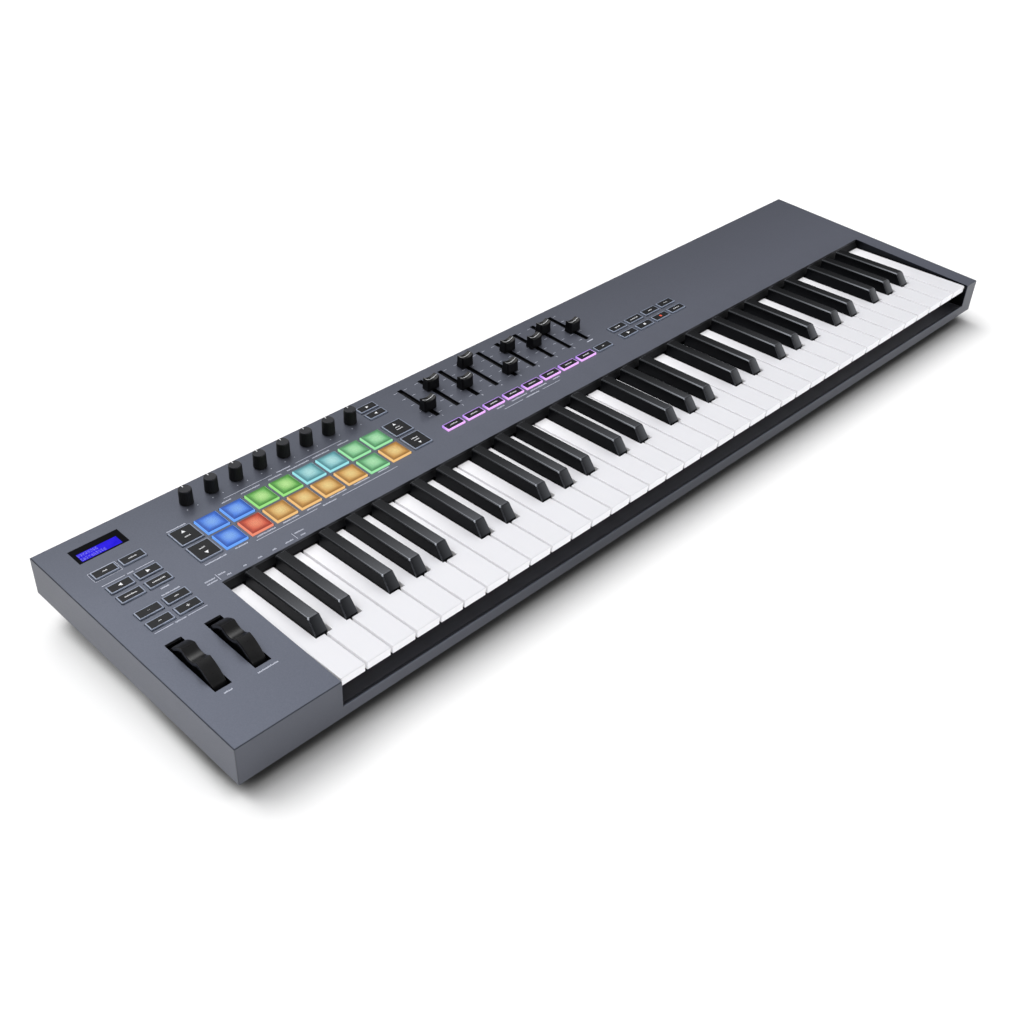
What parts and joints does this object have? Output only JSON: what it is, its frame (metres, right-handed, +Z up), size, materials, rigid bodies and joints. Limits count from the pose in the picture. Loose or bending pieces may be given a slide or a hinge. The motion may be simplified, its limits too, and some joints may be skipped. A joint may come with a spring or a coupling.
{
  "type": "synthesizer",
  "caption": "Slim synthesizer keyboard: sprung piano keys in a sloping case with two wheels, a small display, knobs, slide faders, lit square pads and push buttons.",
  "frame": {"origin": "centre of the footprint at desk level: the middle of the bounding box in X and Y, on the bottom of the rubber feet", "axes": "+X to the player's right along the keys, +Y away from the player towards the rear edge, +Z up from the desk"},
  "size_m": [0.955, 0.2592, 0.0753],
  "materials": {
    "case_plastic": "fine-textured blue-grey",
    "base_plastic": "charcoal texture",
    "key_white": "glossy off-white",
    "key_black": "satin black",
    "control_black": "satin black",
    "button_dark": "charcoal",
    "pad_cool": "lit translucent silicone, blue to green",
    "pad_warm": "lit translucent silicone, amber with some others",
    "fascia_black": "flat black",
    "felt": "felt",
    "steel": "bright",
    "circuit_board": "solder mask",
    "silicone": "translucent grey",
    "foot_rubber": "matt black",
    "display_glass": "gloss black",
    "display_blue": "lit blue",
    "pot_body": "moulded"
  },
  "bodies": {
    "case": {"top_case": "case_plastic", "bottom_case": "base_plastic", "keybed_frame": "base_plastic", "key_slot_fascia": "fascia_black", "key_pivot_rod": "steel", "key_stop_felts": "felt", "key_contact_board": "circuit_board", "key_contact_domes": "silicone", "key_return_springs": "steel", "panel_board": "circuit_board", "button_membrane": "silicone", "display_window": "display_glass", "display_module": "display_blue", "fader_pots": "pot_body", "knob_pots": "pot_body", "wheel_bracket": "base_plastic", "pitch_wheel_spring": "steel", "connector_board": "circuit_board", "usb_socket": "steel", "rubber_feet": "foot_rubber", "case_screws": "steel"},
    "pitch_wheel": {"pitch_wheel": "control_black"},
    "mod_wheel": {"mod_wheel": "control_black"},
    "key_c": {"key_c": "key_white"},
    "key_f_sharp": {"key_f_sharp": "key_black"},
    "fader_1": {"fader_1": "control_black"},
    "knob_1": {"knob_1": "control_black"},
    "pads_rear_row": {"pads_rear_row": "pad_cool"},
    "pads_front_row": {"pads_front_row": "pad_warm"},
    "mode_buttons": {"mode_buttons": "button_dark"},
    "transport_buttons": {"transport_buttons": "button_dark"},
    "channel_buttons": {"channel_buttons": "button_dark"},
    "preset_buttons": {"preset_buttons": "button_dark"},
    "bank_buttons": {"bank_buttons": "button_dark"},
    "page_buttons": {"page_buttons": "button_dark"},
    "key_c_sharp": {"key_c_sharp": "key_black"},
    "key_d": {"key_d": "key_white"},
    "key_d_sharp": {"key_d_sharp": "key_black"},
    "key_e": {"key_e": "key_white"},
    "key_f": {"key_f": "key_white"},
    "key_g": {"key_g": "key_white"},
    "key_g_sharp": {"key_g_sharp": "key_black"},
    "key_a": {"key_a": "key_white"},
    "key_a_sharp": {"key_a_sharp": "key_black"},
    "key_b": {"key_b": "key_white"},
    "fader_2": {"fader_2": "control_black"},
    "fader_3": {"fader_3": "control_black"},
    "fader_4": {"fader_4": "control_black"},
    "fader_5": {"fader_5": "control_black"},
    "fader_6": {"fader_6": "control_black"},
    "fader_7": {"fader_7": "control_black"},
    "fader_8": {"fader_8": "control_black"},
    "fader_9": {"fader_9": "control_black"},
    "knob_2": {"knob_2": "control_black"},
    "knob_3": {"knob_3": "control_black"},
    "knob_4": {"knob_4": "control_black"},
    "knob_5": {"knob_5": "control_black"},
    "knob_6": {"knob_6": "control_black"},
    "knob_7": {"knob_7": "control_black"},
    "knob_8": {"knob_8": "control_black"}
  },
  "joints": [
    {"name": "pitch_wheel_turn", "type": "hinge", "parent": "case", "child": "pitch_wheel", "pos_m": [-0.44965, -0.04765, 0.03308], "axis": [1, 0, 0], "range_deg": [-30, 30], "stiffness_Nm_per_rad": 0.03, "deforming": ["pitch_wheel_spring"]},
    {"name": "mod_wheel_turn", "type": "hinge", "parent": "case", "child": "mod_wheel", "pos_m": [-0.41645, -0.04765, 0.03308], "axis": [1, 0, 0], "range_deg": [-30, 30]},
    {"name": "key_c_press", "type": "hinge", "parent": "case", "child": "key_c", "pos_m": [0, 0.05946, 0.034], "axis": [1, 0, 0], "range_deg": [0, 3.05], "stiffness_Nm_per_rad": 1.2, "springref_deg": -20.05, "deforming": ["key_contact_domes", "key_return_springs"]},
    {"name": "key_f_sharp_press", "type": "hinge", "parent": "case", "child": "key_f_sharp", "pos_m": [0, 0.05946, 0.034], "axis": [1, 0, 0], "range_deg": [0, 3.05], "stiffness_Nm_per_rad": 1.2, "springref_deg": -20.05},
    {"name": "fader_1_slide", "type": "slide", "parent": "case", "child": "fader_1", "axis": [0, 0.9982, 0.0593], "range_m": [-0.0099, 0.0351]},
    {"name": "knob_1_turn", "type": "hinge", "parent": "case", "child": "knob_1", "pos_m": [-0.3531, 0.10578, 0.06072], "axis": [0, -0.0593, 0.9982], "range_deg": [-150, 150]},
    {"name": "pads_rear_row_press", "type": "slide", "parent": "case", "child": "pads_rear_row", "axis": [0, 0.0593, -0.9982], "range_m": [0, 0.0009], "stiffness_N_per_m": 2000, "springref_m": -0.0025},
    {"name": "pads_front_row_press", "type": "slide", "parent": "case", "child": "pads_front_row", "axis": [0, 0.0593, -0.9982], "range_m": [0, 0.0009], "stiffness_N_per_m": 2000, "springref_m": -0.0025},
    {"name": "mode_buttons_press", "type": "slide", "parent": "case", "child": "mode_buttons", "axis": [0, 0.0593, -0.9982], "range_m": [0, 0.0009], "stiffness_N_per_m": 1500, "springref_m": -0.0025},
    {"name": "transport_buttons_press", "type": "slide", "parent": "case", "child": "transport_buttons", "axis": [0, 0.0593, -0.9982], "range_m": [0, 0.0009], "stiffness_N_per_m": 1500, "springref_m": -0.0025},
    {"name": "channel_buttons_press", "type": "slide", "parent": "case", "child": "channel_buttons", "axis": [0, 0.0593, -0.9982], "range_m": [0, 0.0009], "stiffness_N_per_m": 1500, "springref_m": -0.0025},
    {"name": "preset_buttons_press", "type": "slide", "parent": "case", "child": "preset_buttons", "axis": [0, 0.0593, -0.9982], "range_m": [0, 0.0009], "stiffness_N_per_m": 1500, "springref_m": -0.0025},
    {"name": "bank_buttons_press", "type": "slide", "parent": "case", "child": "bank_buttons", "axis": [0, 0.0593, -0.9982], "range_m": [0, 0.0009], "stiffness_N_per_m": 1500, "springref_m": -0.0025},
    {"name": "page_buttons_press", "type": "slide", "parent": "case", "child": "page_buttons", "axis": [0, 0.0593, -0.9982], "range_m": [0, 0.0009], "stiffness_N_per_m": 1500, "springref_m": -0.0025},
    {"name": "key_c_sharp_press", "type": "hinge", "parent": "case", "child": "key_c_sharp", "pos_m": [0, 0.05946, 0.034], "axis": [1, 0, 0], "range_deg": [0, 3.05], "stiffness_Nm_per_rad": 1.2, "springref_deg": -20.05},
    {"name": "key_d_press", "type": "hinge", "parent": "case", "child": "key_d", "pos_m": [0, 0.05946, 0.034], "axis": [1, 0, 0], "range_deg": [0, 3.05], "stiffness_Nm_per_rad": 1.2, "springref_deg": -20.05},
    {"name": "key_d_sharp_press", "type": "hinge", "parent": "case", "child": "key_d_sharp", "pos_m": [0, 0.05946, 0.034], "axis": [1, 0, 0], "range_deg": [0, 3.05], "stiffness_Nm_per_rad": 1.2, "springref_deg": -20.05},
    {"name": "key_e_press", "type": "hinge", "parent": "case", "child": "key_e", "pos_m": [0, 0.05946, 0.034], "axis": [1, 0, 0], "range_deg": [0, 3.05], "stiffness_Nm_per_rad": 1.2, "springref_deg": -20.05},
    {"name": "key_f_press", "type": "hinge", "parent": "case", "child": "key_f", "pos_m": [0, 0.05946, 0.034], "axis": [1, 0, 0], "range_deg": [0, 3.05], "stiffness_Nm_per_rad": 1.2, "springref_deg": -20.05},
    {"name": "key_g_press", "type": "hinge", "parent": "case", "child": "key_g", "pos_m": [0, 0.05946, 0.034], "axis": [1, 0, 0], "range_deg": [0, 3.05], "stiffness_Nm_per_rad": 1.2, "springref_deg": -20.05},
    {"name": "key_g_sharp_press", "type": "hinge", "parent": "case", "child": "key_g_sharp", "pos_m": [0, 0.05946, 0.034], "axis": [1, 0, 0], "range_deg": [0, 3.05], "stiffness_Nm_per_rad": 1.2, "springref_deg": -20.05},
    {"name": "key_a_press", "type": "hinge", "parent": "case", "child": "key_a", "pos_m": [0, 0.05946, 0.034], "axis": [1, 0, 0], "range_deg": [0, 3.05], "stiffness_Nm_per_rad": 1.2, "springref_deg": -20.05},
    {"name": "key_a_sharp_press", "type": "hinge", "parent": "case", "child": "key_a_sharp", "pos_m": [0, 0.05946, 0.034], "axis": [1, 0, 0], "range_deg": [0, 3.05], "stiffness_Nm_per_rad": 1.2, "springref_deg": -20.05},
    {"name": "key_b_press", "type": "hinge", "parent": "case", "child": "key_b", "pos_m": [0, 0.05946, 0.034], "axis": [1, 0, 0], "range_deg": [0, 3.05], "stiffness_Nm_per_rad": 1.2, "springref_deg": -20.05},
    {"name": "fader_2_slide", "type": "slide", "parent": "case", "child": "fader_2", "axis": [0, 0.9982, 0.0593], "range_m": [-0.0327, 0.0123]},
    {"name": "fader_3_slide", "type": "slide", "parent": "case", "child": "fader_3", "axis": [0, 0.9982, 0.0593], "range_m": [-0.014, 0.031]},
    {"name": "fader_4_slide", "type": "slide", "parent": "case", "child": "fader_4", "axis": [0, 0.9982, 0.0593], "range_m": [-0.0397, 0.0053]},
    {"name": "fader_5_slide", "type": "slide", "parent": "case", "child": "fader_5", "axis": [0, 0.9982, 0.0593], "range_m": [-0.0051, 0.0399]},
    {"name": "fader_6_slide", "type": "slide", "parent": "case", "child": "fader_6", "axis": [0, 0.9982, 0.0593], "range_m": [-0.0329, 0.0121]},
    {"name": "fader_7_slide", "type": "slide", "parent": "case", "child": "fader_7", "axis": [0, 0.9982, 0.0593], "range_m": [-0.0215, 0.0235]},
    {"name": "fader_8_slide", "type": "slide", "parent": "case", "child": "fader_8", "axis": [0, 0.9982, 0.0593], "range_m": [-0.0331, 0.0119]},
    {"name": "fader_9_slide", "type": "slide", "parent": "case", "child": "fader_9", "axis": [0, 0.9982, 0.0593], "range_m": [-0.0168, 0.0282]},
    {"name": "knob_2_turn", "type": "hinge", "parent": "case", "child": "knob_2", "pos_m": [-0.3291, 0.10578, 0.06072], "axis": [0, -0.0593, 0.9982], "range_deg": [-150, 150]},
    {"name": "knob_3_turn", "type": "hinge", "parent": "case", "child": "knob_3", "pos_m": [-0.3051, 0.10578, 0.06072], "axis": [0, -0.0593, 0.9982], "range_deg": [-150, 150]},
    {"name": "knob_4_turn", "type": "hinge", "parent": "case", "child": "knob_4", "pos_m": [-0.2811, 0.10578, 0.06072], "axis": [0, -0.0593, 0.9982], "range_deg": [-150, 150]},
    {"name": "knob_5_turn", "type": "hinge", "parent": "case", "child": "knob_5", "pos_m": [-0.2571, 0.10578, 0.06072], "axis": [0, -0.0593, 0.9982], "range_deg": [-150, 150]},
    {"name": "knob_6_turn", "type": "hinge", "parent": "case", "child": "knob_6", "pos_m": [-0.2331, 0.10578, 0.06072], "axis": [0, -0.0593, 0.9982], "range_deg": [-150, 150]},
    {"name": "knob_7_turn", "type": "hinge", "parent": "case", "child": "knob_7", "pos_m": [-0.2091, 0.10578, 0.06072], "axis": [0, -0.0593, 0.9982], "range_deg": [-150, 150]},
    {"name": "knob_8_turn", "type": "hinge", "parent": "case", "child": "knob_8", "pos_m": [-0.1851, 0.10578, 0.06072], "axis": [0, -0.0593, 0.9982], "range_deg": [-150, 150]}
  ]
}
